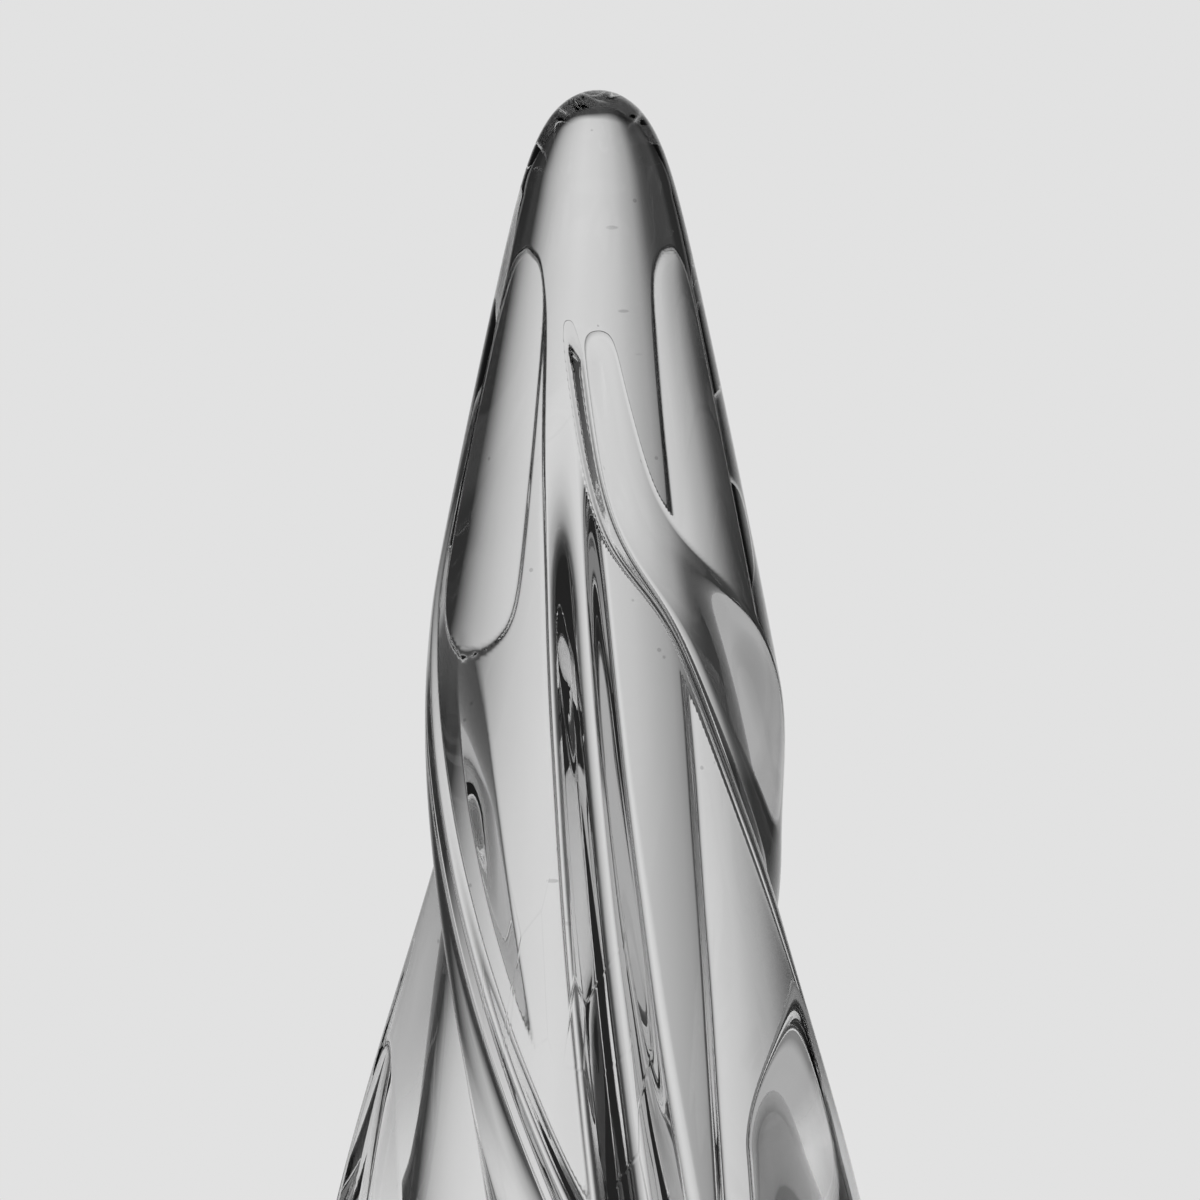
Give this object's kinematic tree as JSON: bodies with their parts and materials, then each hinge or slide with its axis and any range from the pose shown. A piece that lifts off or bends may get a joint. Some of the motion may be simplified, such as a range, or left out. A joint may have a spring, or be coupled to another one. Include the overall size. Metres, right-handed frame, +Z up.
{
  "type": "spiral tree sculpture",
  "caption": "Solid clear glass tree: a round-tipped cone with two deep twisted grooves and a narrow crease down its back, standing on clear bumper feet.",
  "frame": {"origin": "under the middle of the outline, on the surface that the feet stand on", "axes": "+Z up to the tip, -Y towards the front that the picture shows, +X to the viewer's right"},
  "size_m": [0.1072, 0.0986, 0.254],
  "materials": {
    "clear_glass": "clear, colourless, fire-polished",
    "clear_bumper": "clear, soft, satin"
  },
  "bodies": {
    "root": {"glass_body": "clear_glass", "bumper_foot_1": "clear_bumper", "bumper_foot_2": "clear_bumper", "bumper_foot_3": "clear_bumper", "bumper_foot_4": "clear_bumper"}
  },
  "joints": []
}
